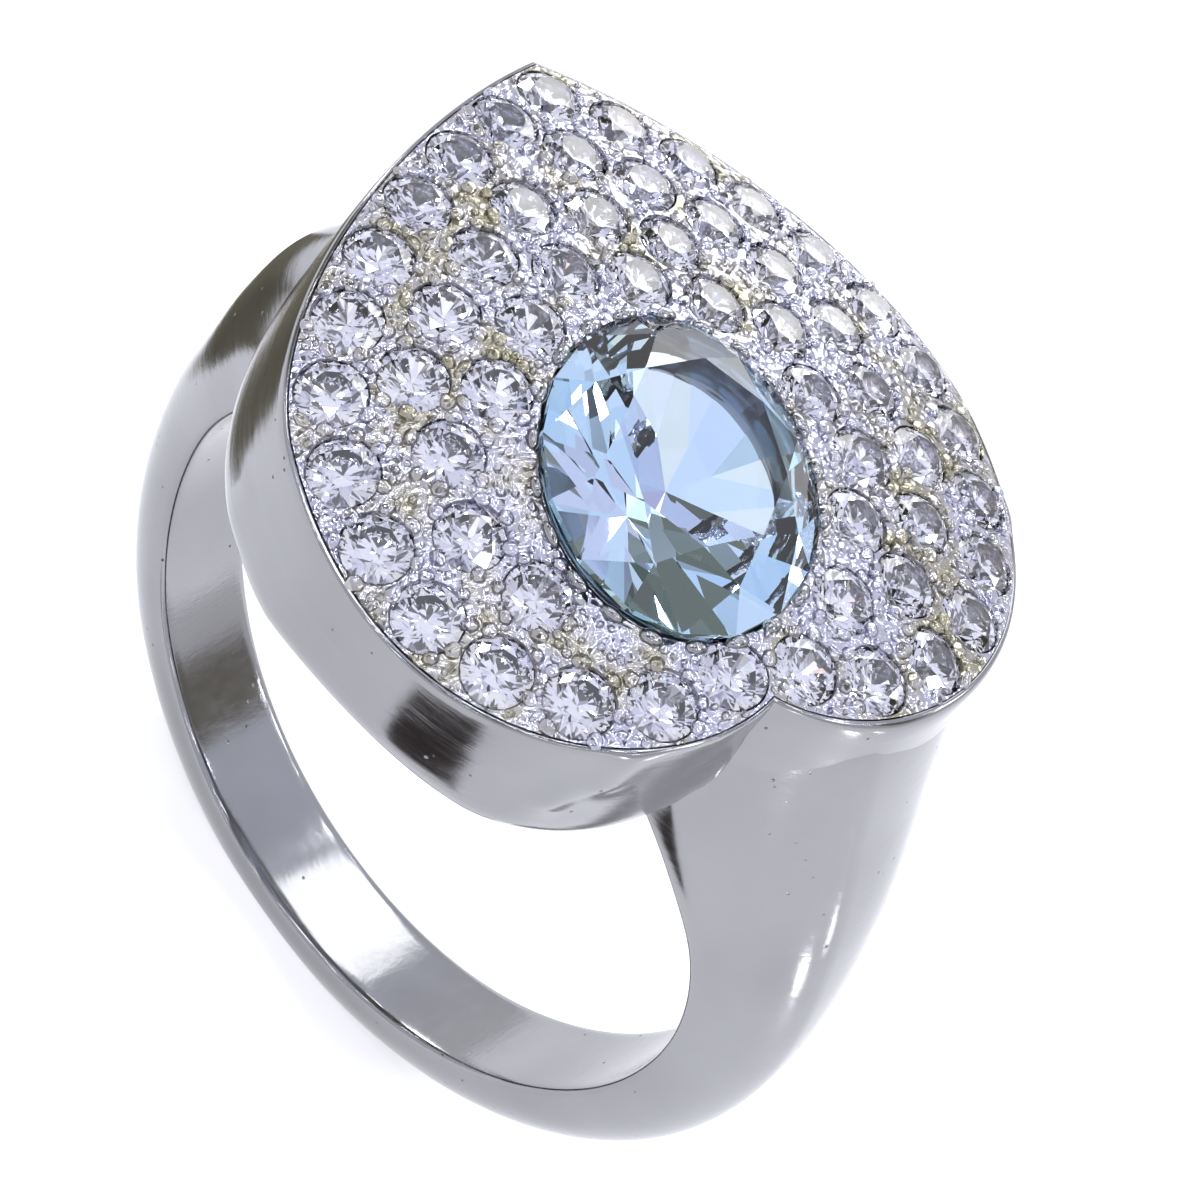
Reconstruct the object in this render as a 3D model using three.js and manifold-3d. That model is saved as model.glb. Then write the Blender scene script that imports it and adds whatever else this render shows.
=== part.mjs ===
// Cocktail ring: a heart-shaped head paved with round white stones round one oval blue stone,
// on a plain D-section shank with wide shoulders.
// Millimetres. The origin is the centre of the finger hole, +Y runs along the finger and +Z goes
// up through the head. The shank stands on a small flat at the bottom of the band.

import * as THREE from 'three';
import { mergeVertices } from 'three/addons/utils/BufferGeometryUtils.js';
import { LoftGeometry } from 'three/addons/geometries/LoftGeometry.js';
import Module from 'manifold-3d';

// ---- driving dimensions ----

const JOINT_GAP = 0.05; // clearance left where two pieces are soldered or set together
const OUTLINE_GAP = JOINT_GAP / 8; // the same clearance as a share of the heart's scale

const BORE_RADIUS = 8.65; // finger hole, US size 7
const BORE_SIDES = 72;
const CUTTER_LENGTH = 30; // of the tools that cut the bore and the base flat
const BASE_FLAT_Z = -9.55; // the flat that the ring stands on

// The shank, from the left shoulder round the base to the right shoulder. Each station gives the
// angle from the base in degrees, the half width towards -Y and towards +Y, and the thickness.
const SHANK_STATIONS = [
  [-152, 3.2, 3.1, 4.95],
  [-132, 2.7, 2.45, 3.5],
  [-112, 2.0, 1.9, 2.75],
  [-90, 1.5, 1.5, 1.88],
  [-45, 1.35, 1.35, 1.85],
  [0, 1.35, 1.35, 1.85],
  [45, 1.35, 1.45, 1.85],
  [75, 1.35, 1.8, 1.9],
  [98, 1.5, 2.55, 2.0],
  [120, 2.0, 3.6, 2.3],
  [136, 2.6, 4.4, 2.95],
  [148, 2.9, 5.0, 3.85],
  [160, 3.1, 5.3, 4.6],
];
const SHANK_STEPS = 52;
const SHANK_SIDES = 16;
const SHANK_EDGE = 0.2; // height of the rim at each side of the band
const SHANK_STOCK = 0.5; // metal left inside the bore line before the bore is cut

const HEART_TURN = THREE.MathUtils.degToRad(-22.7); // heart axis against the band
const HEART_CENTRE = new THREE.Vector2(-1.5, -0.26); // along and across the heart axis
const HEART_SIDES = 56;
const DOME = { top: 12.5, across: new THREE.Vector3(27.4, 18.1, 15) }; // face of the head
const UNDERSIDE_RADIUS = 8.05; // the head is relieved over the finger to this radius
const WALL_BOTTOM = 7.55;
const WALL_ROUND = 0.7; // height of the turned-in lower edge of the wall
const WALL_TUCK = 0.955; // scale of the outline at that lower edge
const WALL_INSIDE = 0.885; // scale of the hollow inside the wall
const RIM_INSIDE = 0.98; // scale of the recess for the plate at the top of the wall
const PLATE_THICKNESS = 1.15;

const OVAL = { centre: new THREE.Vector2(-0.2, -0.85), long: 3.75, short: 3.15 };
const OVAL_TURN = THREE.MathUtils.degToRad(-42);
const OVAL_CUT = { girdle: 0.16, crown: 0.95, pavilion: 2.3, table: 0.6, culet: 0.12, sides: 24 };
const OVAL_SINK = 0.12; // girdle below the face
const COLLET_DEPTH = 1.7;
const COLLET_INSIDE = 0.66; // scale of the hole through the collet

const PAVE_DIAMETER = 1.5;
const PAVE_CUT = { girdle: 0.04, crown: 0.22, pavilion: 0.6, table: 0.56, culet: 0.06, sides: 8 };
const PAVE_SINK = 0.1;
const PAVE_GAP = 0.035; // clearance round a stone in its seat
const PAVE_PITCH = 1.72; // between neighbours in the row along the edge
const PAVE_EDGE = 0.97; // stone centre to the edge of the heart
const PAVE_TO_OVAL = 0.95; // stone centre to the edge of the oval stone
const PAVE_SPIRAL = { step: 0.86, phase: 3.1, count: 28 }; // where the inner stones start from
const PAVE_SPREAD = { reach: 1.85, rounds: 120, share: 0.12 }; // how the inner stones even out

const POLISHED = new THREE.MeshStandardMaterial({ color: 0xc9c8d0, roughness: 0.12, metalness: 1 });
const PAVE_METAL = new THREE.MeshStandardMaterial({ color: 0xb9b6a8, roughness: 0.3, metalness: 1 });
const WHITE_STONE = new THREE.MeshStandardMaterial({ color: 0xe9ecf4, roughness: 0.02, metalness: 0 });
const BLUE_STONE = new THREE.MeshStandardMaterial({ color: 0x8fbcd2, roughness: 0.02, metalness: 0 });

// ---- joining and cutting ----

const wasm = await Module();
wasm.setup();

function toSolid(geometry) {
  const bare = new THREE.BufferGeometry();
  bare.setAttribute('position', geometry.getAttribute('position'));
  bare.setIndex(geometry.index);
  const merged = mergeVertices(bare);
  return new wasm.Manifold(new wasm.Mesh({
    numProp: 3,
    vertProperties: merged.attributes.position.array,
    triVerts: new Uint32Array(merged.index.array),
  }));
}

function toMesh(name, solid, material) {
  const { vertProperties, triVerts } = solid.getMesh();
  const geometry = new THREE.BufferGeometry();
  geometry.setAttribute('position', new THREE.BufferAttribute(vertProperties, 3));
  geometry.setIndex(new THREE.BufferAttribute(triVerts, 1));
  geometry.computeVertexNormals();
  const mesh = new THREE.Mesh(geometry, material);
  mesh.name = name;
  return mesh;
}

// ---- heart outline ----

// Half of the heart runs from the cleft round one lobe to the tip, along its own axis.
const heartHalf = (side) => [
  new THREE.CubicBezierCurve(
    new THREE.Vector2(5.2, 0),
    new THREE.Vector2(7.15, 2.8 * side),
    new THREE.Vector2(5.15, 8.5 * side),
    new THREE.Vector2(-1.4, 8.5 * side),
  ),
  new THREE.CubicBezierCurve(
    new THREE.Vector2(-1.4, 8.5 * side),
    new THREE.Vector2(-4.9, 8.5 * side),
    new THREE.Vector2(-8.55, 4.4 * side),
    new THREE.Vector2(-10.7, 0),
  ),
];

// A point of the outline at fraction u of the way round, from the cleft, in the part's frame.
function heartPoint(u, scale = 1) {
  const side = u < 0.5 ? 1 : -1;
  const along = 4 * (u < 0.5 ? u : 1 - u);
  const [lobe, flank] = heartHalf(side);
  const point = along < 1 ? lobe.getPoint(along) : flank.getPoint(along - 1);
  const middle = new THREE.Vector2(HEART_CENTRE.x, 0);
  point.sub(middle).multiplyScalar(scale).add(middle);
  point.y += HEART_CENTRE.y;
  return point.rotateAround(new THREE.Vector2(), HEART_TURN);
}

function heartSection(scale, z) {
  return Array.from({ length: HEART_SIDES }, (_, i) => {
    const { x, y } = heartPoint(i / HEART_SIDES, scale);
    return new THREE.Vector3(x, y, z);
  });
}

function heartPrism(levels) {
  const sections = levels.map(([scale, z]) => heartSection(scale, z));
  return toSolid(new LoftGeometry(sections, { capStart: true, capEnd: true }));
}

// ---- the domed face ----

const DOME_CENTRE_Z = DOME.top - DOME.across.z;

function dome(drop) {
  const shrink = (DOME.across.z - drop) / DOME.across.z;
  const geometry = new THREE.SphereGeometry(1, 56, 28);
  geometry.scale(DOME.across.x * shrink, DOME.across.y * shrink, DOME.across.z * shrink);
  geometry.translate(0, 0, DOME_CENTRE_Z);
  return toSolid(geometry);
}

function faceAt({ x, y }) {
  const { across } = DOME;
  const height = across.z * Math.sqrt(1 - (x / across.x) ** 2 - (y / across.y) ** 2);
  const normal = new THREE.Vector3(x / across.x ** 2, y / across.y ** 2, height / across.z ** 2);
  return { point: new THREE.Vector3(x, y, DOME_CENTRE_Z + height), normal: normal.normalize() };
}

// ---- shank ----

function shankSection(angle, near, far, thickness) {
  return Array.from({ length: SHANK_SIDES }, (_, i) => {
    const turn = (2 * Math.PI * i) / SHANK_SIDES;
    const across = Math.cos(turn);
    const inwards = Math.sin(turn);
    const rise = inwards > 0 ? -SHANK_STOCK * inwards : SHANK_EDGE - (thickness - SHANK_EDGE) * inwards;
    const radius = BORE_RADIUS + rise;
    const y = across * (across > 0 ? far : near);
    return new THREE.Vector3(radius * Math.sin(angle), y, -radius * Math.cos(angle));
  });
}

function cylinderAlongY(radius, length, sides) {
  return toSolid(new THREE.CylinderGeometry(radius, radius, length, sides));
}

function makeShank() {
  const toPoint = ([angle, near, far]) => new THREE.Vector3(angle, near, far);
  const toDepth = ([angle, , , thickness]) => new THREE.Vector3(angle, thickness, 0);
  const widths = new THREE.CatmullRomCurve3(SHANK_STATIONS.map(toPoint), false, 'chordal');
  const depths = new THREE.CatmullRomCurve3(SHANK_STATIONS.map(toDepth), false, 'chordal');
  const sections = Array.from({ length: SHANK_STEPS + 1 }, (_, i) => {
    const { x: angle, y: near, z: far } = widths.getPoint(i / SHANK_STEPS);
    const { y: thickness } = depths.getPoint(i / SHANK_STEPS);
    return shankSection(THREE.MathUtils.degToRad(angle), near, far, thickness);
  });
  const blank = toSolid(new LoftGeometry(sections, { capStart: true, capEnd: true }));
  const below = new THREE.BoxGeometry(CUTTER_LENGTH, CUTTER_LENGTH, 4).translate(0, 0, BASE_FLAT_Z - 2);
  const headSpace = heartPrism([[1 + OUTLINE_GAP, WALL_BOTTOM - JOINT_GAP], [1 + OUTLINE_GAP, DOME.top + 5]]);
  return blank
    .subtract(cylinderAlongY(BORE_RADIUS, CUTTER_LENGTH, BORE_SIDES))
    .subtract(toSolid(below))
    .subtract(headSpace);
}

// ---- head shell: the heart-shaped wall, open below ----

function makeHeadShell() {
  const wall = heartPrism([
    [WALL_TUCK, WALL_BOTTOM],
    [(WALL_TUCK + 2) / 3, WALL_BOTTOM + WALL_ROUND * 0.4],
    [1, WALL_BOTTOM + WALL_ROUND],
    [1, DOME.top + 1],
  ]);
  const hollow = heartPrism([[WALL_INSIDE, WALL_BOTTOM - 1], [WALL_INSIDE, DOME.top + 1]]);
  const recess = heartPrism([[RIM_INSIDE, WALL_BOTTOM - 1], [RIM_INSIDE, DOME.top + 1]]);
  const ledge = dome(PLATE_THICKNESS + JOINT_GAP);
  return wall
    .intersect(dome(0))
    .subtract(hollow)
    .subtract(recess.subtract(ledge))
    .subtract(cylinderAlongY(UNDERSIDE_RADIUS, CUTTER_LENGTH, BORE_SIDES));
}

// ---- stones ----

// Profile of a brilliant from culet to table, with the girdle at height 0 and radius 1.
const brilliantProfile = (cut) => [
  new THREE.Vector2(0, -cut.girdle / 2 - cut.pavilion),
  new THREE.Vector2(cut.culet, -cut.girdle / 2 - cut.pavilion),
  new THREE.Vector2(1, -cut.girdle / 2),
  new THREE.Vector2(1, cut.girdle / 2),
  new THREE.Vector2(cut.table, cut.girdle / 2 + cut.crown),
  new THREE.Vector2(0, cut.girdle / 2 + cut.crown),
];

// Cutter for the seat of a brilliant: a straight well above the girdle and a cone below it.
const seatProfile = (cut, throat, depth, height) => [
  new THREE.Vector2(0, -depth),
  new THREE.Vector2(throat, -depth),
  new THREE.Vector2(throat, -cut.girdle / 2 - (cut.pavilion * (1 - throat)) / (1 - cut.culet)),
  new THREE.Vector2(1, -cut.girdle / 2),
  new THREE.Vector2(1, height),
  new THREE.Vector2(0, height),
];

function turned(profile, sides, radiusX, radiusY) {
  const geometry = new THREE.LatheGeometry(profile, sides);
  geometry.rotateX(Math.PI / 2);
  geometry.scale(radiusX, radiusY, 1);
  return geometry;
}

function ovalPlaced(geometry) {
  const { x, y } = OVAL.centre;
  geometry.rotateZ(OVAL_TURN);
  geometry.translate(x, y, faceAt(OVAL.centre).point.z - OVAL_SINK);
  return toSolid(geometry);
}

const makeCentreStone = () =>
  ovalPlaced(turned(brilliantProfile(OVAL_CUT), OVAL_CUT.sides, OVAL.long, OVAL.short));

function ovalTube(grow, low, high) {
  const profile = [
    new THREE.Vector2(0, low),
    new THREE.Vector2(1, low),
    new THREE.Vector2(1, high),
    new THREE.Vector2(0, high),
  ];
  return ovalPlaced(turned(profile, OVAL_CUT.sides, OVAL.long + grow, OVAL.short + grow));
}

function makeCollet() {
  const seat = turned(
    seatProfile(OVAL_CUT, COLLET_INSIDE, COLLET_DEPTH + 1, 1),
    OVAL_CUT.sides,
    OVAL.long + JOINT_GAP,
    OVAL.short + JOINT_GAP,
  );
  seat.translate(0, 0, -JOINT_GAP);
  return ovalTube(0, -COLLET_DEPTH, -OVAL_CUT.girdle).subtract(ovalPlaced(seat));
}

// ---- pave layout ----

// The outline from the tip round and back, with the direction into the heart at each point.
const OUTLINE = Array.from({ length: 360 }, (_, i) => {
  const u = (0.5 + (i + 0.5) / 360) % 1;
  const ahead = heartPoint((u + 0.001) % 1).sub(heartPoint(u));
  return { point: heartPoint(u), inwards: new THREE.Vector2(-ahead.y, ahead.x).normalize() };
});

// Distance of a place from the edge of the heart, negative outside it.
function depthInside(place) {
  const distances = OUTLINE.map(({ point }) => point.distanceTo(place));
  const distance = Math.min(...distances);
  const { point, inwards } = OUTLINE[distances.indexOf(distance)];
  return distance * Math.sign(place.clone().sub(point).dot(inwards));
}

// The outer row follows the outline at a fixed distance inside it.
function edgeRow() {
  const inset = OUTLINE.map(({ point, inwards }) => point.clone().addScaledVector(inwards, PAVE_EDGE));
  const clear = inset.filter((place) => depthInside(place) > PAVE_EDGE - 0.02);
  const row = new THREE.CatmullRomCurve3(clear.map(({ x, y }) => new THREE.Vector3(x, y, 0)), true);
  const count = Math.round(row.getLength() / PAVE_PITCH);
  return row.getSpacedPoints(count).slice(0, count).map(({ x, y }) => new THREE.Vector2(x, y));
}

// How far a place lies out from the middle of the oval, with 1 on the line that stones keep to.
function outFromOval(place) {
  const local = place.clone().rotateAround(OVAL.centre, -OVAL_TURN).sub(OVAL.centre);
  return Math.hypot(local.x / (OVAL.long + PAVE_TO_OVAL), local.y / (OVAL.short + PAVE_TO_OVAL));
}

// The inner stones start on a spiral like the seeds of a sunflower, clear of the edge row and the oval.
function innerStart() {
  const { step, phase, count } = PAVE_SPIRAL;
  const goldenAngle = Math.PI * (3 - Math.sqrt(5));
  const places = [];
  for (let turn = 0.5; places.length < count; turn++) {
    const place = new THREE.Vector2(step * Math.sqrt(turn), 0)
      .rotateAround(new THREE.Vector2(), turn * goldenAngle + phase)
      .add(HEART_CENTRE);
    if (depthInside(place) > PAVE_EDGE + PAVE_PITCH / 2 && outFromOval(place) > 1) {
      places.push(place);
    }
  }
  return places;
}

// Each inner stone moves away from its neighbours, and off the oval, until they are evenly spread.
function paveLayout() {
  const { reach, rounds, share } = PAVE_SPREAD;
  const edge = edgeRow();
  const inner = innerStart();
  for (let round = 0; round < rounds; round++) {
    const places = [...edge, ...inner];
    const moves = inner.map((place) => {
      const move = new THREE.Vector2();
      for (const other of places) {
        const apart = place.distanceTo(other);
        if (other !== place && apart < reach) {
          move.add(place.clone().sub(other).setLength((reach - apart) * share));
        }
      }
      return move;
    });
    inner.forEach((place, i) => {
      const out = outFromOval(place.add(moves[i]));
      if (out < 1) {
        place.sub(OVAL.centre).divideScalar(out).add(OVAL.centre);
      }
    });
  }
  return [...edge, ...inner];
}

function paveTransform(place) {
  const { point, normal } = faceAt(place);
  const turn = new THREE.Quaternion().setFromUnitVectors(new THREE.Vector3(0, 0, 1), normal);
  const centre = point.addScaledVector(normal, -PAVE_SINK);
  return new THREE.Matrix4().compose(centre, turn, new THREE.Vector3(1, 1, 1));
}

const paveTransforms = paveLayout().map(paveTransform);

// ---- pave plate ----

function makePlate() {
  const scale = RIM_INSIDE - OUTLINE_GAP;
  const blank = heartPrism([[scale, WALL_BOTTOM], [scale, DOME.top + 1]])
    .intersect(dome(0))
    .subtract(dome(PLATE_THICKNESS));
  const radius = PAVE_DIAMETER / 2 + PAVE_GAP;
  const seat = turned(seatProfile(PAVE_CUT, 0.4, 2.5, 1), PAVE_CUT.sides, radius, radius);
  seat.translate(0, 0, -PAVE_GAP);
  const seats = paveTransforms.map((transform) => toSolid(seat.clone().applyMatrix4(transform)));
  return blank.subtract(ovalTube(JOINT_GAP, -5, 3)).subtract(wasm.Manifold.union(seats));
}

function makePaveStone(transform) {
  const radius = PAVE_DIAMETER / 2;
  const geometry = turned(brilliantProfile(PAVE_CUT), PAVE_CUT.sides, radius, radius);
  return toSolid(geometry.applyMatrix4(transform));
}

// ---- assembly ----

const ring = new THREE.Group();
ring.add(toMesh('shank', makeShank(), POLISHED));
ring.add(toMesh('head_shell', makeHeadShell(), POLISHED));
ring.add(toMesh('pave_plate', makePlate(), PAVE_METAL));
ring.add(toMesh('centre_collet', makeCollet(), POLISHED));
ring.add(toMesh('centre_stone', makeCentreStone(), BLUE_STONE));
paveTransforms.forEach((transform, i) => {
  const name = `pave_stone_${String(i + 1).padStart(2, '0')}`;
  ring.add(toMesh(name, makePaveStone(transform), WHITE_STONE));
});

export default ring;
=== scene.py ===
# Looks of the cocktail ring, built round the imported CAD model.
# Shapes are worked out in millimetres in the part's frame, and scaled to metres when a mesh is made.

import math
import random

import bmesh
import bpy
import numpy as np
from mathutils import Matrix, Vector
from mathutils.bvhtree import BVHTree
from mathutils.geometry import delaunay_2d_cdt


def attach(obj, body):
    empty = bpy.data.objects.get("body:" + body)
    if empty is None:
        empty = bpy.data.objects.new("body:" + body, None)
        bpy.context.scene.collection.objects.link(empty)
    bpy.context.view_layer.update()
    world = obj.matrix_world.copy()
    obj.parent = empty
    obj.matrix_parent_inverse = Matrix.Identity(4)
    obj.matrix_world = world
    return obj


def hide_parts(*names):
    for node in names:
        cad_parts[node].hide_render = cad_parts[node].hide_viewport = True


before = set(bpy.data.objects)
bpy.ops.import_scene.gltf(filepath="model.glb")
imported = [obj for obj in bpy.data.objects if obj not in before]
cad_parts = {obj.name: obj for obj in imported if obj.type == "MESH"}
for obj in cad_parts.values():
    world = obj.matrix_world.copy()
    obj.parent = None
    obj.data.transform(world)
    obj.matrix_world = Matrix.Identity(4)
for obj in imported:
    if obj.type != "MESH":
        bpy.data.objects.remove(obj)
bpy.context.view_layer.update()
MM = 0.001

# ---- dimensions shared with the CAD, in millimetres ----

BORE = 8.65  # radius of the finger hole
BASE_FLAT_Z = -9.55
SHANK_STATIONS = np.array([
    # angle from the base, half width towards -Y and +Y, thickness, how far the back is peaked
    [-152, 3.2, 3.1, 4.95, 0.0],
    [-132, 2.7, 2.45, 3.6, 0.0],
    [-121, 2.33, 2.15, 3.2, 0.0],
    [-112, 2.0, 1.9, 2.62, 0.0],
    [-101, 1.75, 1.7, 2.05, 0.0],
    [-90, 1.5, 1.5, 1.86, 0.0],
    [-45, 1.35, 1.35, 1.85, 0.0],
    [0, 1.35, 1.35, 1.85, 0.0],
    [45, 1.35, 1.45, 1.85, 0.0],
    [75, 1.35, 1.8, 1.9, 0.03],
    [98, 1.5, 2.55, 2.0, 0.12],
    [120, 2.0, 3.6, 2.3, 0.3],
    [136, 2.6, 4.4, 2.95, 0.5],
    [148, 2.9, 5.0, 3.85, 0.6],
    [160, 3.1, 5.3, 4.6, 0.6],
])
SHANK_RINGS = 300
SHANK_EDGE = 0.2  # height of the rim at each side of the band
SHANK_BEVEL = 0.22  # width of the softened edge inside the band
HEAD_CUT = 0.97  # the shank stops inside the wall, at this scale of the heart
CREASE_DEGREES = 50  # polished metal is shaded smooth below this angle

FILLET = 1.5  # how far the solder fillet between shank and head wall reaches
FILLET_RISE = 0.42  # greatest height of the fillet, as a share of its reach
FILLET_OVERRUN = 1.15  # how far the fillet goes on below the other surface
LEFT_FILLET = 0.15  # share of the fillet that the left shoulder gets
FILLET_CLEAR = 0.5  # height over the bore where the fillet begins
FILLET_FADE = 1.4  # height over which it grows to its full size

HEART_TURN = math.radians(-22.7)
HEART_MIDDLE = np.array([-1.5, 0.0])
HEART_SHIFT = -0.26
LOBE = np.array([[5.2, 0], [7.15, 2.8], [5.15, 8.5], [-1.4, 8.5]])
FLANK = np.array([[-1.4, 8.5], [-4.9, 8.5], [-8.55, 4.4], [-10.7, 0]])
DOME_TOP = 12.5
ABOVE_HEAD = 20.0
DOME_AXES = np.array([27.4, 18.1, 15.0])
UNDERSIDE_RADIUS = 8.05
WALL_BOTTOM = 7.55
ARCH_EASE = 0.12
WALL_INSIDE = 0.885  # scale of the heart at the inside of the wall
WALL_POINTS = 480
WALL_FOOT = 1.3  # height of the rounded foot of the wall
WALL_TOP = 1.2  # depth of the part of the wall that leans in towards the rim
WALL_LEVELS = 9  # rings of points between the two, and one more
OUTER_RINGS = 19  # rings of points on the outside of the wall, from its foot
PLATE_SCALE = 0.979
PLATE_THICKNESS = 1.15

OVAL_CENTRE = np.array([-0.2, -0.85])
OVAL_LONG, OVAL_SHORT = 3.75, 3.15
OVAL_TURN = math.radians(-42)
OVAL_SINK = 0.12
COLLET_DEPTH = 1.7
COLLET_INSIDE = 0.66
COLLET_SLOPE = 2.3  # depth of the bearing over the stone's whole radius
COLLET_BEADS = 22
BEARING_GAP = 0.24  # from the stone's girdle plane down to the bearing

PAVE_RADIUS = 0.75
PAVE_SINK = 0.1
SEAT_RADIUS = 0.785
THROAT_RADIUS = 0.3

random.seed(41)

# ---- meshes ----


def new_object(name, points, faces, sharp_degrees=35):
    """An object from points in millimetres and faces, smooth except at sharp angles."""
    mesh = bpy.data.meshes.new(name)
    mesh.from_pydata([tuple(p) for p in np.asarray(points, float) * MM], [], faces)
    mesh.update()
    mesh.shade_smooth()
    mesh.set_sharp_from_angle(angle=math.radians(sharp_degrees))
    obj = bpy.data.objects.new(name, mesh)
    bpy.context.scene.collection.objects.link(obj)
    return obj


def ring_faces(rings, sides, closed=False):
    """Quads between successive rings of points, all of the same number of sides."""
    faces = []
    for ring in range(rings if closed else rings - 1):
        a, b = ring * sides, (ring + 1) % rings * sides
        for i in range(sides):
            j = (i + 1) % sides
            faces.append((a + i, a + j, b + j, b + i))
    return faces


def outwards(obj):
    """Turns the faces of a closed mesh outwards."""
    bm = bmesh.new()
    bm.from_mesh(obj.data)
    bmesh.ops.recalc_face_normals(bm, faces=bm.faces)
    bm.to_mesh(obj.data)
    bm.free()
    return obj


def settle(obj, material, slot, *nodes):
    """Gives a piece its material and its body, and hides the CAD nodes it stands for."""
    obj.data.materials.append(material)
    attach(obj, "root")
    if nodes:
        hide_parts(*nodes)
    return obj


# ---- heart and dome ----


def bezier(control, t):
    t = np.asarray(t)[:, None]
    a, b, c, d = control
    return (1 - t) ** 3 * a + 3 * (1 - t) ** 2 * t * b + 3 * (1 - t) * t * t * c + t ** 3 * d


def heart_outline(count):
    """Evenly spaced points of the outline along its own axes, from the cleft, with one at the tip."""
    t = np.linspace(0, 1, 400)
    half = np.vstack([bezier(LOBE, t), bezier(FLANK, t)[1:]])
    run = np.concatenate([[0], np.cumsum(np.linalg.norm(np.diff(half, axis=0), axis=1))])
    places = np.linspace(0, run[-1], count // 2 + 1)
    side = np.column_stack([np.interp(places, run, half[:, k]) for k in (0, 1)])
    mirrored = side[-2:0:-1] * [1, -1]
    return np.vstack([side, mirrored])


def to_part(points):
    """From the heart's own axes to the part's frame."""
    x, y = points[:, 0], points[:, 1] + HEART_SHIFT
    c, s = math.cos(HEART_TURN), math.sin(HEART_TURN)
    return np.column_stack([x * c - y * s, x * s + y * c])


def scaled_heart(outline, scale):
    return to_part((outline - HEART_MIDDLE) * scale + HEART_MIDDLE)


def dome_height(xy, drop=0.0):
    axes = DOME_AXES * (DOME_AXES[2] - drop) / DOME_AXES[2]
    inside = 1 - (xy[:, 0] / axes[0]) ** 2 - (xy[:, 1] / axes[1]) ** 2
    return DOME_TOP - DOME_AXES[2] + axes[2] * np.sqrt(inside)


def dome_normal(xy):
    height = dome_height(xy) - DOME_TOP + DOME_AXES[2]
    normal = np.column_stack([xy, height]) / DOME_AXES ** 2
    return normal / np.linalg.norm(normal, axis=1)[:, None]


# ---- shank ----


def station_curves(angles):
    """Half widths, thickness and peak at each angle, eased between the stations."""
    known = SHANK_STATIONS[:, 0]
    columns = []
    for k in range(1, SHANK_STATIONS.shape[1]):
        values = SHANK_STATIONS[:, k]
        slopes = np.gradient(values, known)
        i = np.clip(np.searchsorted(known, angles) - 1, 0, len(known) - 2)
        span = known[i + 1] - known[i]
        t = (angles - known[i]) / span
        eased = (
            (2 * t ** 3 - 3 * t ** 2 + 1) * values[i]
            + (t ** 3 - 2 * t ** 2 + t) * span * slopes[i]
            + (3 * t ** 2 - 2 * t ** 3) * values[i + 1]
            + (t ** 3 - t ** 2) * span * slopes[i + 1]
        )
        columns.append(eased)
    return np.column_stack(columns)


def shank_section(near, far, thickness, peak):
    """(y, rise over the bore) round the band: flat inside, soft edges, a domed or peaked back."""
    flat = near + far - 2 * SHANK_BEVEL
    inside = [(-near + SHANK_BEVEL + flat * t, 0.0) for t in np.linspace(0, 1, 15)]
    far_edge = [(far - 0.09, 0.02), (far - 0.02, 0.08), (far, 0.15)]
    back = []
    for turn in np.linspace(0, math.pi, 49):
        across = math.cos(turn)
        rise = math.sin(turn)
        if across > 0:
            rise = (1 - peak) * rise + peak * (1 - across ** 3.2) ** 0.5
        else:
            rise = (1 - peak) * rise + peak * (1 - abs(across) ** 1.15) ** 0.9
        y = across * (far if across > 0 else near)
        back.append((y, SHANK_EDGE + (thickness - SHANK_EDGE) * rise))
    near_edge = [(-near, 0.15), (-near + 0.02, 0.08), (-near + 0.09, 0.02)]
    return inside + far_edge + back + near_edge


def evened(moves, mesh, rounds):
    """The moves of a mesh's points, averaged a few times with those of their neighbours."""
    ends = np.array([edge.vertices[:] for edge in mesh.edges])
    count = np.bincount(ends.ravel(), minlength=len(moves))
    for _ in range(rounds):
        total = np.bincount(ends[:, 0], moves[ends[:, 1]], len(moves))
        total += np.bincount(ends[:, 1], moves[ends[:, 0]], len(moves))
        moves = (moves + total) / (1 + count)
    return moves


def swelling(over, turn, x, from_axis):
    """How far a surface swells at a distance over another one that it meets at an angle of turn."""
    share = np.clip(1 - over / FILLET, 0.0, FILLET_OVERRUN)
    rise = np.minimum(np.tan(np.minimum(turn, 1.8) / 2) / 2, FILLET_RISE)
    side = LEFT_FILLET + (1 - LEFT_FILLET) * np.clip((x + 2) / 6, 0.0, 1.0)
    outside = np.clip((from_axis - BORE - FILLET_CLEAR) / FILLET_FADE, 0.0, 1.0)
    return share ** 2 * FILLET * rise * side * outside


def swell_shank(shank):
    """Raises the back of the shank towards the head wall, as the near half of the solder fillet."""
    outline = scaled_heart(heart_outline(960), 1.0)
    way = np.roll(outline, -1, axis=0) - np.roll(outline, 1, axis=0)
    facing = np.column_stack([way[:, 1], -way[:, 0]])
    facing /= np.linalg.norm(facing, axis=1)[:, None]
    if (facing * (outline - outline.mean(0))).sum() < 0:
        facing = -facing
    mesh = shank.data
    places = np.array([vertex.co[:] for vertex in mesh.vertices]) / MM
    normals = np.array([vertex.normal[:] for vertex in mesh.vertices])
    moves = np.zeros(len(places))
    from_axis = np.hypot(places[:, 0], places[:, 2])
    near = np.nonzero((places[:, 2] > 2.0) & (from_axis > BORE + FILLET_CLEAR))[0]
    for k in near:
        gaps = np.hypot(*(outline - places[k, :2]).T)
        i = int(gaps.argmin())
        over = math.copysign(gaps[i], facing[i] @ (places[k, :2] - outline[i]))
        turn = math.acos(np.clip(facing[i] @ normals[k, :2], -1, 1))
        moves[k] = swelling(over, turn, places[k, 0], from_axis[k])
    moves = evened(moves, mesh, 5)
    for vertex, normal, move in zip(mesh.vertices, normals, moves):
        vertex.co += Vector(normal) * (move * MM)
    mesh.update()


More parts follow.
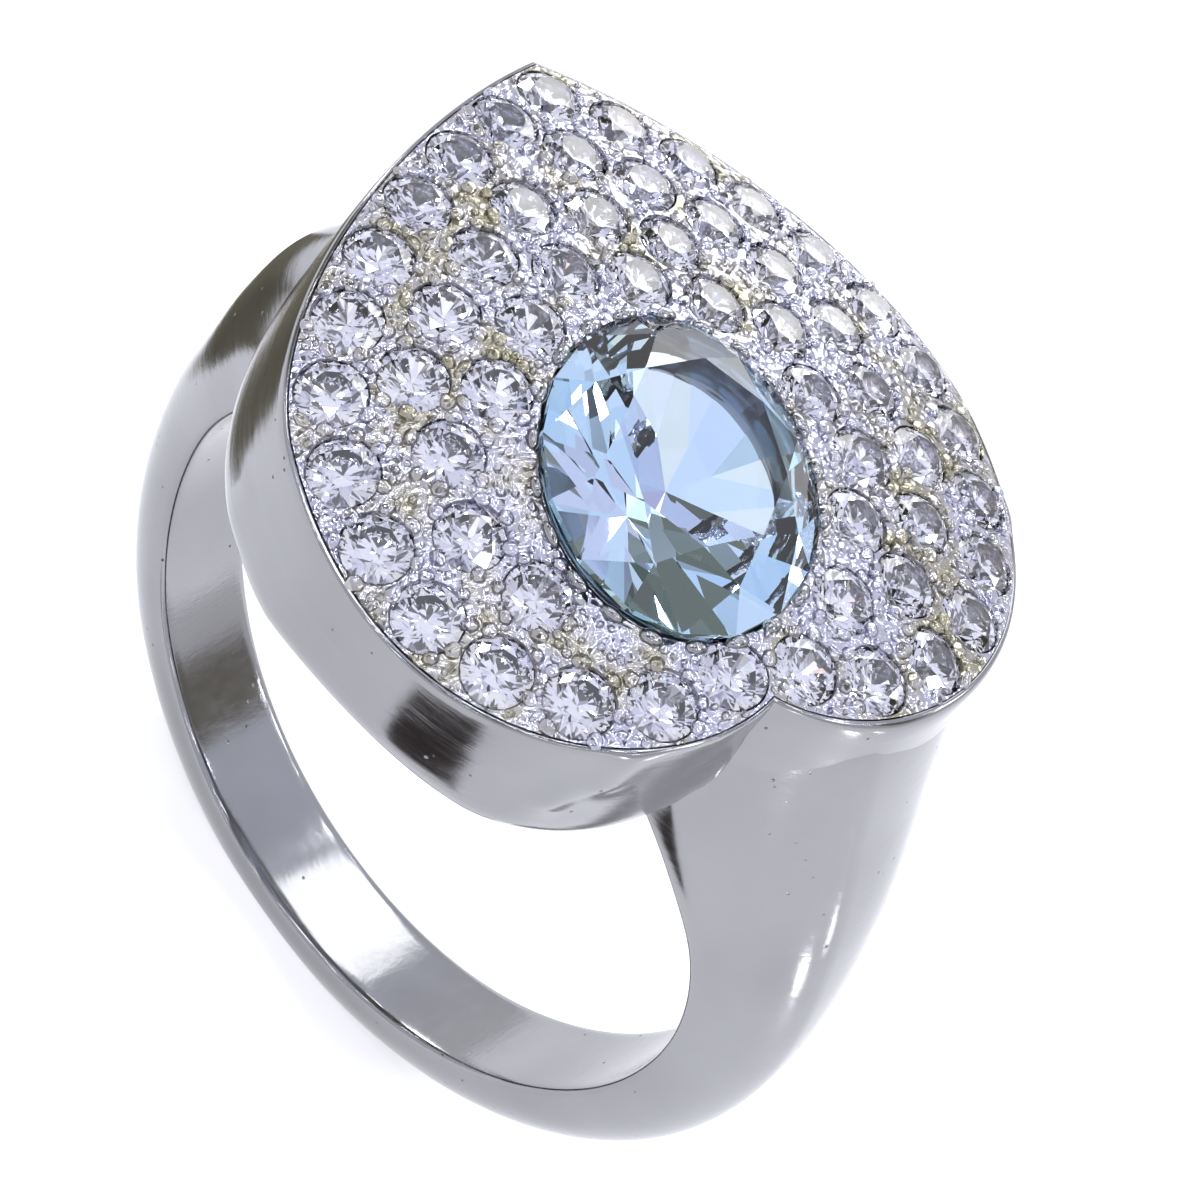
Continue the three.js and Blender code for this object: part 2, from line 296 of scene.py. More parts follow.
def make_shank():
    """The shank, and a search tree of its surface as it is before the fillet."""
    angles = np.linspace(SHANK_STATIONS[0, 0], SHANK_STATIONS[-1, 0], SHANK_RINGS)
    points = []
    for angle, row in zip(np.radians(angles), station_curves(angles)):
        for y, rise in shank_section(*row):
            radius = BORE + rise
            points.append((radius * math.sin(angle), y, -radius * math.cos(angle)))
    sides = len(points) // len(angles)
    faces = ring_faces(len(angles), sides)
    last = len(points) - sides
    faces.append(tuple(range(sides)))
    faces.append(tuple(range(last, last + sides)))
    shank = outwards(new_object("ring_shank", points, faces))
    tree = BVHTree.FromObject(shank, bpy.context.evaluated_depsgraph_get())
    swell_shank(shank)
    cut_base_flat(shank)
    cut_head_space(shank)
    return shank, tree


def cut_base_flat(shank):
    bm = bmesh.new()
    bm.from_mesh(shank.data)
    cut = bmesh.ops.bisect_plane(
        bm,
        geom=bm.verts[:] + bm.edges[:] + bm.faces[:],
        plane_co=(0, 0, BASE_FLAT_Z * MM),
        plane_no=(0, 0, -1),
        clear_outer=True,
    )
    rim = [e for e in cut["geom_cut"] if isinstance(e, bmesh.types.BMEdge)]
    bmesh.ops.contextual_create(bm, geom=rim)
    bm.to_mesh(shank.data)
    bm.free()
    outwards(shank)


def cut_head_space(shank):
    """Takes away what would stand inside the head."""
    outline = scaled_heart(heart_outline(240), HEAD_CUT)
    count = len(outline)
    low = np.column_stack([outline, np.full(count, WALL_BOTTOM)])
    high = np.column_stack([outline, np.full(count, ABOVE_HEAD)])
    faces = ring_faces(2, count) + [tuple(range(count)), tuple(range(count, 2 * count))]
    cutter = outwards(new_object("cutter", np.vstack([low, high]), faces))
    trim = shank.modifiers.new("head", "BOOLEAN")
    trim.operation = "DIFFERENCE"
    trim.solver = "EXACT"
    trim.object = cutter
    graph = bpy.context.evaluated_depsgraph_get()
    mesh = bpy.data.meshes.new_from_object(shank.evaluated_get(graph))
    shank.modifiers.clear()
    shank.data = mesh
    bpy.data.objects.remove(cutter)
    mesh.shade_smooth()
    mesh.set_sharp_from_angle(angle=math.radians(CREASE_DEGREES))


# ---- head wall ----


def lower_edge(xy):
    """Height of the wall's lower edge: level at the sides, with an arch over the finger."""
    arch = np.sqrt(np.clip(UNDERSIDE_RADIUS ** 2 - xy[:, 0] ** 2, 0, None))
    over = arch - WALL_BOTTOM
    return WALL_BOTTOM + (over + np.sqrt(over ** 2 + ARCH_EASE ** 2)) / 2


def swell_wall(wall, tree):
    """Flares the foot of the wall out towards the shank, as the upper half of the solder fillet."""
    mesh = wall.data
    moves = np.zeros(len(mesh.vertices))
    normals = [vertex.normal.copy() for vertex in mesh.vertices]
    for k, (vertex, normal) in enumerate(zip(mesh.vertices, normals)):
        normal.z = 0
        if k >= OUTER_RINGS * WALL_POINTS or normal.length < 0.2:
            continue
        normal.normalize()
        spot, facing, _, gap = tree.find_nearest(vertex.co)
        over = math.copysign(gap, (vertex.co - spot).dot(facing)) / MM
        turn = math.acos(min(max(normal.dot(facing), -1.0), 1.0))
        from_axis = math.hypot(vertex.co.x, vertex.co.z) / MM
        moves[k] = swelling(over, turn, vertex.co.x / MM, from_axis)
    moves = evened(moves, mesh, 14)
    for vertex, normal, move in zip(mesh.vertices, normals, moves):
        vertex.co += normal * (move * MM)
    mesh.set_sharp_from_angle(angle=math.radians(CREASE_DEGREES))


def make_wall(tree):
    outline = heart_outline(WALL_POINTS)
    # scale of the outline, then the level: above the lower edge, between, or below the face
    profile = [(0.895, "low", 0.0), (0.93, "low", 0.0), (0.955, "low", 0.03), (0.972, "low", 0.1)]
    profile += [(0.985, "low", 0.22), (0.993, "low", 0.38), (0.998, "low", 0.58), (1.0, "low", 0.85)]
    profile += [(1.0, "low", WALL_FOOT)]
    profile += [(1.0, "mid", t / WALL_LEVELS) for t in range(1, WALL_LEVELS)]
    profile += [(0.9995, "high", WALL_TOP), (0.998, "high", 0.6), (0.9965, "high", 0.2)]
    profile += [(0.995, "high", 0.07), (0.992, "high", 0.015), (0.989, "high", 0.0)]
    profile += [(0.984, "high", 0.0), (0.9805, "high", 0.03), (0.98, "high", 0.12)]
    profile += [(0.98, "high", 1.15), (0.9, "high", 1.2)]
    profile += [(WALL_INSIDE, "high", 1.25), (WALL_INSIDE, "low", 0.1)]
    rings = []
    for scale, end, step in profile:
        xy = scaled_heart(outline, scale)
        low, high = lower_edge(xy), dome_height(xy)
        if end == "mid":
            z = (low + WALL_FOOT) * (1 - step) + (high - WALL_TOP) * step
        else:
            z = low + step if end == "low" else high - step
        rings.append(np.column_stack([xy, z]))
    count = len(outline)
    wall = new_object("head_wall", np.vstack(rings), ring_faces(len(profile), count, closed=True))
    outwards(wall)
    swell_wall(wall, tree)
    return wall


# ---- stones ----


def brilliant(table, crown, girdle, pavilion, star, lower, tints):
    """Points, faces and facet tints of a brilliant cut of radius 1, its girdle at height 0."""
    eighth = math.pi / 4
    half_girdle = girdle / 2
    slope = crown / (1 - table)
    reach = star * math.cos(eighth / 2)
    star_z = half_girdle + crown - (reach - table) * slope
    low_z = -half_girdle - pavilion * (1 - lower * math.cos(eighth / 2))
    points = []

    def ring(count, radius, z, shift=0.0):
        first = len(points)
        for k in range(count):
            a = (k + shift) * 2 * math.pi / count
            points.append((radius * math.cos(a), radius * math.sin(a), z))
        return [first + k for k in range(count)]

    top = ring(8, table, half_girdle + crown)
    stars = ring(8, star, star_z, 0.5)
    upper = ring(16, 1.0, half_girdle)
    under = ring(16, 1.0, -half_girdle)
    lows = ring(8, lower, low_z, 0.5)
    culet = len(points)
    points.append((0.0, 0.0, -half_girdle - pavilion))
    faces, kinds = [tuple(top)], ["table"]
    for k in range(8):
        n = (k + 1) % 8
        faces.append((top[k], stars[k], top[n]))
        faces.append((top[k], stars[k - 1], upper[2 * k], stars[k]))
        faces.append((stars[k], upper[2 * k], upper[2 * k + 1]))
        faces.append((stars[k], upper[2 * k + 1], upper[2 * n]))
        kinds += ["star", "kite", "upper", "upper"]
        faces.append((under[2 * k], lows[k - 1], culet, lows[k]))
        faces.append((under[2 * k], lows[k], under[2 * k + 1]))
        faces.append((under[2 * k + 1], lows[k], under[2 * n]))
        kinds += ["main", "lower", "lower"]
    for k in range(16):
        n = (k + 1) % 16
        faces.append((upper[k], under[k], under[n], upper[n]))
        kinds.append("girdle")
    return np.array(points), faces, [tints(kind) for kind in kinds]


def stone_mesh(name, points, faces, tints):
    """A faceted mesh in millimetres with a tint on each facet."""
    mesh = bpy.data.meshes.new(name)
    mesh.from_pydata([tuple(p) for p in points * MM], [], faces)
    bm = bmesh.new()
    bm.from_mesh(mesh)
    layer = bm.loops.layers.float_color.new("tint")
    bm.faces.ensure_lookup_table()
    for face, tint in zip(bm.faces, tints):
        for loop in face.loops:
            loop[layer] = (*tint, 1.0)
    bmesh.ops.recalc_face_normals(bm, faces=bm.faces)
    bm.to_mesh(mesh)
    bm.free()
    return mesh


# Facet tints of the clear stones: near white, with a few greyer tints that are painted shade and make
# some facets darker.
WHITE_AND_PAINTED_SHADE_TINTS = [
    (1.0, 1.0, 1.0),
    (0.95, 0.95, 1.0),
    (0.9, 0.9, 1.0),
    (0.84, 0.84, 0.96),
    (0.6, 0.6, 0.74),
]
# Painted fire: warm and cool tints that paint coloured glints into a few lower facets.
PAINTED_FIRE_TINTS = [
    (1.0, 0.8, 0.45),
    (0.6, 0.72, 1.0),
    (1.0, 0.6, 0.5),
    (0.85, 0.8, 1.0),
    (0.85, 1.0, 0.9),
]
PAINTED_FIRE_SHARE = 0.12  # share of the lower facets given a painted colour flash, as painted fire


# A facet's tint for a clear stone: near white, some greyer as painted shade, a few coloured as painted
# fire.
def white_tint_and_painted_light(kind):
    if kind == "table":
        return (0.97, 0.97, 1.0)
    if kind in ("main", "lower") and random.random() < PAINTED_FIRE_SHARE:
        return random.choice(PAINTED_FIRE_TINTS)
    return random.choice(WHITE_AND_PAINTED_SHADE_TINTS)


# Facet tints of the blue stone: the blues are its own colour; the dark teal tint is painted shade and the
# pale green one a painted reflection, both only on pavilion and girdle facets.
BLUE_AND_PAINTED_LIGHT_TINTS = [
    (0.5, 0.72, 0.94),
    (0.4, 0.64, 0.88),
    (0.7, 0.86, 1.0),
    (0.26, 0.48, 0.56),
    (0.6, 0.8, 0.68),
]


def blue_tint_and_painted_light(kind):
    # The table is tinted a darker, greyer blue than the crown facets.
    if kind == "table":
        return (0.42, 0.46, 0.66)
    if kind in ("kite", "star", "upper"):
        return random.choice(BLUE_AND_PAINTED_LIGHT_TINTS[:3])
    return random.choice(BLUE_AND_PAINTED_LIGHT_TINTS)


def pave_place(node):
    """Where a CAD stone sits: the point of the face over it, and the face's normal there."""
    corners = {tuple(round(c / MM, 4) for c in v.co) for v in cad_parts[node].data.vertices}
    middle = np.mean(np.array(sorted(corners)), axis=0)
    xy = middle[None, :2].copy()
    for _ in range(6):
        normal = dome_normal(xy)[0]
        above = (dome_height(xy)[0] - middle[2]) / normal[2]
        xy = (middle[:2] + normal[:2] * above)[None]
    return xy[0], dome_normal(xy)[0]


PAVE_NODES = sorted(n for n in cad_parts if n.startswith("pave_stone_"))
PAVE_PLACES = [pave_place(node) for node in PAVE_NODES]
PAVE_XY = np.array([xy for xy, _ in PAVE_PLACES])


def on_axis(xy, normal, height):
    """The point at a height over the face, on the line through xy along the normal."""
    base = np.array([*xy, dome_height(np.asarray(xy)[None])[0]])
    return base + normal * height


def axis_frame(normal, spin=0.0):
    """Two unit vectors across a normal, turned round it by spin."""
    a = np.cross([0.0, 1.0, 0.0], normal)
    a /= np.linalg.norm(a)
    b = np.cross(normal, a)
    return a * math.cos(spin) + b * math.sin(spin), b * math.cos(spin) - a * math.sin(spin)


def place_matrix(origin, x_axis, y_axis, z_axis):
    columns = [Vector(x_axis), Vector(y_axis), Vector(z_axis)]
    matrix = Matrix.Identity(4)
    for k, column in enumerate(columns):
        matrix[0][k], matrix[1][k], matrix[2][k] = column
    matrix.translation = Vector(origin) * MM
    return matrix


CUTS = 6  # how many differently tinted copies of the brilliant there are
STONE_LEAN = 0.075
CROWN_HEIGHT = 0.95
PAVILION_DEPTH = 2.3


def make_pave_stones(material):
    cut = dict(table=0.57, crown=0.3, girdle=0.05, pavilion=0.84, star=0.77, lower=0.24)
    meshes = []
    for k in range(CUTS):
        points, faces, tints = brilliant(**cut, tints=white_tint_and_painted_light)
        meshes.append(stone_mesh(f"brilliant_cut_{k + 1}", points * PAVE_RADIUS, faces, tints))
    for k, (node, (xy, normal)) in enumerate(zip(PAVE_NODES, PAVE_PLACES)):
        obj = bpy.data.objects.new(f"brilliant_{k + 1:02d}", meshes[k % len(meshes)].copy())
        bpy.context.scene.collection.objects.link(obj)
        lean = np.array([random.uniform(-1, 1), random.uniform(-1, 1), 0]) * STONE_LEAN
        tilted = normal + lean
        tilted /= np.linalg.norm(tilted)
        x_axis, y_axis = axis_frame(tilted, random.uniform(0, math.tau))
        origin = on_axis(xy, normal, -PAVE_SINK + random.uniform(-0.015, 0.03))
        obj.matrix_world = place_matrix(origin, x_axis, y_axis, tilted)
        settle(obj, material, "white_stone", node)


def make_centre_stone(material):
    cut = dict(table=0.6, crown=0.32, girdle=0.05, pavilion=0.74, star=0.79, lower=0.3)
    points, faces, tints = brilliant(**cut, tints=blue_tint_and_painted_light)
    x, y, z = points.T
    z = z * np.where(z > 0, CROWN_HEIGHT / cut["crown"], PAVILION_DEPTH / cut["pavilion"])
    shaped = np.column_stack([x * OVAL_LONG, y * OVAL_SHORT, z])
    obj = bpy.data.objects.new("oval_topaz", stone_mesh("oval_topaz", shaped, faces, tints))
    bpy.context.scene.collection.objects.link(obj)
    top = dome_height(OVAL_CENTRE[None])[0] - OVAL_SINK
    c, s = math.cos(OVAL_TURN), math.sin(OVAL_TURN)
    obj.matrix_world = place_matrix((*OVAL_CENTRE, top), (c, s, 0), (-s, c, 0), (0, 0, 1))
    settle(obj, material, "blue_stone", "centre_stone")


# ---- pave plate ----

SEAT_SIDES = 48
SEAT_PROFILE = [(0.765, -0.05), (0.76, -0.13), (0.42, -0.52), (THROAT_RADIUS, -0.64)]
OVAL_SIDES = 96
OVAL_HOLE_GAP = 0.03
ROW_STEP = 0.87  # between rows of a triangular grid, for a spacing of 1
FACE_SPACING = 0.3  # between the points that fill the plate's face
BACK_SPACING = 0.6


def oval_ring(scale, z_over, grow=0.0, sides=OVAL_SIDES):
    """Points of the oval outline at a height over its girdle plane."""
    a = np.arange(sides) * math.tau / sides
    x = (OVAL_LONG * scale + grow) * np.cos(a)
    y = (OVAL_SHORT * scale + grow) * np.sin(a)
    c, s = math.cos(OVAL_TURN), math.sin(OVAL_TURN)
    xy = np.column_stack([x * c - y * s, x * s + y * c]) + OVAL_CENTRE
    z = dome_height(OVAL_CENTRE[None])[0] - OVAL_SINK + z_over
    return np.column_stack([xy, np.full(sides, z)])


def seat_ring(xy, normal, radius, height):
    x_axis, y_axis = axis_frame(normal)
    a = np.arange(SEAT_SIDES) * math.tau / SEAT_SIDES
    centre = on_axis(xy, normal, height)
    return centre + radius * (np.cos(a)[:, None] * x_axis + np.sin(a)[:, None] * y_axis)


def pierced_sheet(outer, holes, spacing, drop):
    """A triangulated sheet on the dome, bounded by outer and open at the holes. Loops come first."""
    loops = [outer, *holes]
    points = [tuple(p) for loop in loops for p in loop]
    edges, first = [], 0
    for loop in loops:
        count = len(loop)
        edges += [(first + i, first + (i + 1) % count) for i in range(count)]
        first += count
    low, high = outer.min(0), outer.max(0)
    fill = []
    for row, y in enumerate(np.arange(low[1], high[1], spacing * ROW_STEP)):
        for x in np.arange(low[0] + (row % 2) * spacing / 2, high[0], spacing):
            fill.append((x, y))
    fill = np.array(fill)
    clear = np.ones(len(fill), bool)
    for loop in loops:
        gap = np.linalg.norm(fill[:, None] - loop[None], axis=2).min(1)
        clear &= gap > spacing * 0.45
    for hole in holes:
        middle = hole.mean(0)
        radius = np.linalg.norm(hole - middle, axis=1).min()
        clear &= np.linalg.norm(fill - middle, axis=1) > radius
    points += [tuple(p) for p in fill[clear]]
    result = delaunay_2d_cdt([Vector(p) for p in points], edges, [], 0, 1e-6)
    xy = np.array([tuple(p) for p in result[0]])
    triangles = np.array(result[2])
    centres = xy[triangles].mean(1)
    keep = inside_loop(centres, outer)
    for hole in holes:
        keep &= ~inside_loop(centres, hole)
    renumber = {source: new for new, sources in enumerate(result[3]) for source in sources}
    loop_ids, first = [], 0
    for loop in loops:
        loop_ids.append([renumber[first + i] for i in range(len(loop))])
        first += len(loop)
    z = dome_height(xy, drop)
    return np.column_stack([xy, z]), [tuple(t) for t in triangles[keep]], loop_ids


def inside_loop(points, loop):
    """Which points lie inside a closed loop, by crossings."""
    x, y = points[:, 0][:, None], points[:, 1][:, None]
    a, b = loop, np.roll(loop, -1, axis=0)
    spans = (a[:, 1] > y) != (b[:, 1] > y)
    rise = np.where(b[:, 1] == a[:, 1], 1e-12, b[:, 1] - a[:, 1])
    crosses = spans & (x < (b[:, 0] - a[:, 0]) * (y - a[:, 1]) / rise + a[:, 0])
    return crosses.sum(1) % 2 == 1


def make_plate():
    """The domed plate: a face and an underside, joined round the edge and through every seat."""
    outer = scaled_heart(heart_outline(360), PLATE_SCALE)
    oval = [oval_ring(1, 0, OVAL_HOLE_GAP)[:, :2]]
    tops = [seat_ring(*place, SEAT_RADIUS, 0.0)[:, :2] for place in PAVE_PLACES]
    throats = [seat_ring(*place, THROAT_RADIUS, -PLATE_THICKNESS)[:, :2] for place in PAVE_PLACES]
    top_points, top_faces, top_loops = pierced_sheet(outer, tops + oval, FACE_SPACING, 0.0)
    low_points, low_faces, low_loops = pierced_sheet(outer, throats + oval, BACK_SPACING, PLATE_THICKNESS)
    points = [*top_points, *low_points]
    shift = len(top_points)
    faces = top_faces + [tuple(i + shift for i in reversed(f)) for f in low_faces]
    low_loops = [[i + shift for i in loop] for loop in low_loops]

    def join(chain):
        for a, b in zip(chain, chain[1:]):
            count = len(a)
            for i in range(count):
                j = (i + 1) % count
                faces.append((a[i], a[j], b[j], b[i]))

    join([top_loops[0], low_loops[0]])
    join([top_loops[-1], low_loops[-1]])
    for k, (xy, normal) in enumerate(PAVE_PLACES):
        chain = [top_loops[k + 1]]
        for radius, height in SEAT_PROFILE:
            ring = seat_ring(xy, normal, radius, height)
            first = len(points)
            points.extend(ring)
            chain.append(list(range(first, first + SEAT_SIDES)))
        chain.append(low_loops[k + 1])
        join(chain)
    return outwards(new_object("pave_plate_metal", points, faces, 30))


# ---- grains ----


BEAD_SIDES = 12
BEAD_LEVELS = 5
BEAD_SKIRT = 0.12  # how far a bead goes on below its foot
BEAD_SINK = 0.02
BEAD_GAP = 0.075  # from a stone's edge to the middle of the bead that holds it
BEAD_SPACING = 0.27
BURR_TRIES = 6000
BURR_SPACING = 0.2
WIDEST_GAP = 3.0  # a triangle with a longer side crosses a bay of the outline


def grain(centre, x_axis, y_axis, z_axis, size):
    """Points and faces of one raised bead of metal: a low dome on a short skirt."""
    points = []
    for level in range(BEAD_LEVELS):
        t = level / BEAD_LEVELS * math.pi / 2
        for i in range(BEAD_SIDES):
            a = i * math.tau / BEAD_SIDES
            across = x_axis * math.cos(a) * size[0] + y_axis * math.sin(a) * size[1]
            points.append(centre + across * math.cos(t) + z_axis * math.sin(t) * size[2])
    skirt = [p - z_axis * BEAD_SKIRT for p in points[:BEAD_SIDES]]
    points = skirt + points
    faces = ring_faces(BEAD_LEVELS + 1, BEAD_SIDES)
    tip = len(points)
    points.append(centre + z_axis * size[2])
    last = BEAD_LEVELS * BEAD_SIDES
    faces += [(last + i, last + (i + 1) % BEAD_SIDES, tip) for i in range(BEAD_SIDES)]
    faces.append(tuple(reversed(range(BEAD_SIDES))))
    return points, faces


def add_grain(points, faces, *shape):
    """Adds one bead to the points and faces of a mesh of many."""
    bead_points, bead_faces = grain(*shape)
    shift = len(points)
    points += bead_points
    faces += [tuple(i + shift for i in f) for f in bead_faces]


def grain_places():
    """Beads in the gaps between stones, each pushed up against the stone that it holds."""
    border = scaled_heart(heart_outline(44), 0.985)
    around = oval_ring(1, 0, 0.0, 18)[:, :2]
    everything = np.vstack([PAVE_XY, border, around])
    result = delaunay_2d_cdt([Vector(p) for p in everything], [], [], 0, 1e-6)
    count = len(PAVE_XY)
    places = []
    for triangle in result[2]:
        corners = everything[list(triangle)]
        sides = np.linalg.norm(corners - np.roll(corners, 1, axis=0), axis=1)
        if sides.max() > WIDEST_GAP:
            continue
        middle = corners.mean(0)
        for k, corner in zip(triangle, corners):
            if k >= count:
                continue
            way = middle - corner
            length = np.linalg.norm(way)
            if length < 1e-6:
                continue
            spot = corner + way / length * (PAVE_RADIUS + BEAD_GAP)
            places.append((spot, way / length))
    return places


def burr_places(taken, hull, oval):
    """Spots for the small burrs left between stones and beads, none too near another."""
    low, high = hull.min(0), hull.max(0)
    spots = []
    everything = list(taken)
    for _ in range(BURR_TRIES):
        spot = np.array([random.uniform(low[k], high[k]) for k in range(2)])
        if np.linalg.norm(PAVE_XY - spot, axis=1).min() < PAVE_RADIUS + 0.06:
            continue
        if np.linalg.norm(np.array(everything) - spot, axis=1).min() < BURR_SPACING:
            continue
        if inside_loop(spot[None], hull)[0] and not inside_loop(spot[None], oval)[0]:
            spots.append(spot)
            everything.append(spot)
    return spots


def make_grains(material):
    """The beads that hold the stones, and the burrs that fill what is left of the plate's face."""
    points, faces, taken = [], [], []
    hull = scaled_heart(heart_outline(120), 0.972)
    oval = oval_ring(1, 0, 0.1)[:, :2]
    places = grain_places()
    random.shuffle(places)
    for spot, way in places:
        near_stone = np.linalg.norm(PAVE_XY - spot, axis=1).min() < PAVE_RADIUS + 0.03
        crowded = any(np.linalg.norm(spot - other) < BEAD_SPACING for other in taken)
        inside = inside_loop(spot[None], hull)[0] and not inside_loop(spot[None], oval)[0]
        if near_stone or crowded or not inside:
            continue
        taken.append(spot)
        normal = dome_normal(spot[None])[0]
        side = np.cross(normal, [way[0], way[1], 0.0])
        side /= np.linalg.norm(side)
        ahead = np.cross(side, normal)
        wide = random.uniform(0.16, 0.22)
        size = (random.uniform(0.14, 0.19), wide, random.uniform(0.12, 0.18))
        lean = normal - ahead * random.uniform(0.1, 0.35)
        lean /= np.linalg.norm(lean)
        add_grain(points, faces, on_axis(spot, normal, -BEAD_SINK), ahead, side, lean, size)
    for spot in burr_places(taken, hull, oval):
        normal = dome_normal(spot[None])[0]
        x_axis, y_axis = axis_frame(normal, random.uniform(0, math.tau))
        wide = random.uniform(0.07, 0.13)
        size = (wide, wide * random.uniform(0.7, 1.0), random.uniform(0.06, 0.12))
        add_grain(points, faces, on_axis(spot, normal, -BEAD_SINK), x_axis, y_axis, normal, size)
    beads = outwards(new_object("pave_grains", points, faces, 60))
    return settle(beads, material, "pave_silver")


def make_collet(material):
    """The tube under the oval stone, and the row of beads that holds the stone's edge."""
    rings = [
        oval_ring(1.0, -COLLET_DEPTH),
        oval_ring(1.0, -BEARING_GAP - 0.02),
        oval_ring(0.985, -BEARING_GAP),
        oval_ring(COLLET_INSIDE, -BEARING_GAP - COLLET_SLOPE * (1 - COLLET_INSIDE)),
        oval_ring(COLLET_INSIDE, -COLLET_DEPTH),
    ]
    points = [p for ring in rings for p in ring]
    faces = ring_faces(len(rings), OVAL_SIDES, closed=True)
    ring = oval_ring(1.0, 0.0, 0.1, 360)
    for k in range(COLLET_BEADS):
        turn = (k + 0.5) * math.tau / COLLET_BEADS
        place = int(turn / math.tau * 360)
        spot = ring[place]
        ahead = ring[(place + 3) % 360] - spot
        ahead /= np.linalg.norm(ahead)
        normal = dome_normal(spot[None, :2])[0]
        side = np.cross(normal, ahead)
        size = (random.uniform(0.26, 0.34), random.uniform(0.15, 0.19), random.uniform(0.16, 0.22))
        base = on_axis(spot[:2], normal, -0.03)
        add_grain(points, faces, base, ahead, side, normal, size)
    collet = outwards(new_object("centre_collet_beads", points, faces, 60))
    return settle(collet, material, "polished_silver", "centre_collet")


# ---- materials ----


def new_material(name):
    material = bpy.data.materials.new(name)
    material.use_nodes = True
    tree = material.node_tree
    shader = tree.nodes["Principled BSDF"]
    return material, tree, shader


def add(tree, kind, **values):
    node = tree.nodes.new(kind)
    for key, value in values.items():
        setattr(node, key, value)
    return node


def textured(tree, kind, scale, stretch=(1, 1, 1), **inputs):
    """A texture in object coordinates, with its scale in features per metre."""
    coordinates = add(tree, "ShaderNodeTexCoord")
    mapping = add(tree, "ShaderNodeMapping")
    mapping.inputs["Scale"].default_value = stretch
    texture = add(tree, kind)
    tree.links.new(coordinates.outputs["Object"], mapping.inputs["Vector"])
    tree.links.new(mapping.outputs["Vector"], texture.inputs["Vector"])
    texture.inputs["Scale"].default_value = scale
    for key, value in inputs.items():
        texture.inputs[key].default_value = value
    return texture


def ramp(tree, source, stops):
    node = add(tree, "ShaderNodeValToRGB")
    tree.links.new(source, node.inputs["Fac"])
    elements = node.color_ramp.elements
    while len(elements) < len(stops):
        elements.new(0.5)
    for element, (place, colour) in zip(elements, stops):
        element.position = place
        element.color = (*colour, 1.0)
    return node.outputs["Color"]


def bump(tree, source, strength, height, invert=False):
    """A bump node, with its height in millimetres."""
    node = add(tree, "ShaderNodeBump", invert=invert)
    node.inputs["Strength"].default_value = strength
    node.inputs["Distance"].default_value = height * MM
    tree.links.new(source, node.inputs["Height"])
    return node


def grey(value):
    return (value, value, value)


def polished_silver():
    """Dark, rhodium-like silver: slightly clouded, finely scratched, with a few tiny pits."""
    material, tree, shader = new_material("polished_silver")
    shader.inputs["Metallic"].default_value = 1.0
    cloud = textured(tree, "ShaderNodeTexNoise", 260.0, Detail=4.0)
    pits = textured(tree, "ShaderNodeTexVoronoi", 1900.0)
    dots = textured(tree, "ShaderNodeTexNoise", 420.0, Detail=3.0)
    scratches = textured(tree, "ShaderNodeTexNoise", 900.0, (0.25, 1.6, 7.0), Detail=5.0, Roughness=0.7)
    tone = ramp(tree, cloud.outputs["Fac"], [(0.3, (0.295, 0.297, 0.303)), (0.7, (0.335, 0.337, 0.347))])
    pit = ramp(tree, pits.outputs["Distance"], [(0.03, grey(1.0)), (0.085, grey(0.0))])
    where = ramp(tree, dots.outputs["Fac"], [(0.47, grey(0.0)), (0.58, grey(1.0))])
    pitting = add(tree, "ShaderNodeMath", operation="MULTIPLY")
    tree.links.new(pit, pitting.inputs[0])
    tree.links.new(where, pitting.inputs[1])
    mix = add(tree, "ShaderNodeMix", data_type="RGBA")
    tree.links.new(pitting.outputs[0], mix.inputs["Factor"])
    tree.links.new(tone, mix.inputs["A"])
    mix.inputs["B"].default_value = (0.12, 0.10, 0.11, 1.0)
    tree.links.new(mix.outputs["Result"], shader.inputs["Base Color"])
    rough = ramp(tree, scratches.outputs["Fac"], [(0.35, grey(0.1)), (0.75, grey(0.2))])
    tree.links.new(rough, shader.inputs["Roughness"])
    scratched = bump(tree, scratches.outputs["Fac"], 0.35, 0.012)
    pitted = bump(tree, pitting.outputs[0], 0.8, 0.04, invert=True)
    tree.links.new(scratched.outputs["Normal"], pitted.inputs["Normal"])
    tree.links.new(pitted.outputs["Normal"], shader.inputs["Normal"])
    return material


def pave_silver():
    """The same metal cut bright by the setter's tools, with a yellowish tarnish in places."""
    material, tree, shader = new_material("pave_silver")
    shader.inputs["Metallic"].default_value = 1.0
    cloud = textured(tree, "ShaderNodeTexNoise", 700.0, Detail=4.0)
    tool = textured(tree, "ShaderNodeTexVoronoi", 5200.0)
    tone = ramp(tree, cloud.outputs["Fac"], [(0.36, (0.36, 0.34, 0.255)), (0.56, (0.5, 0.5, 0.58))])
    tree.links.new(tone, shader.inputs["Base Color"])
    rough = ramp(tree, cloud.outputs["Fac"], [(0.3, grey(0.24)), (0.7, grey(0.08))])
    tree.links.new(rough, shader.inputs["Roughness"])
    tooled = bump(tree, tool.outputs["Distance"], 0.9, 0.06)
    tree.links.new(tooled.outputs["Normal"], shader.inputs["Normal"])
    return material


def gem(name, index, roughness):
    """A clear stone that takes its colour, partly painted shade, reflection and fire, from the tint of
    each facet, with fine wear on the polish.
    """
    material, tree, shader = new_material(name)
    shader.inputs["Transmission Weight"].default_value = 1.0
    shader.inputs["IOR"].default_value = index
    tint = add(tree, "ShaderNodeVertexColor", layer_name="tint")
    tree.links.new(tint.outputs["Color"], shader.inputs["Base Color"])
    wear = textured(tree, "ShaderNodeTexNoise", 3000.0, Detail=2.0)
    rough = ramp(tree, wear.outputs["Fac"], [(0.4, grey(roughness)), (0.8, grey(roughness * 4))])
    tree.links.new(rough, shader.inputs["Roughness"])
    return material


# ---- stage, camera and light ----

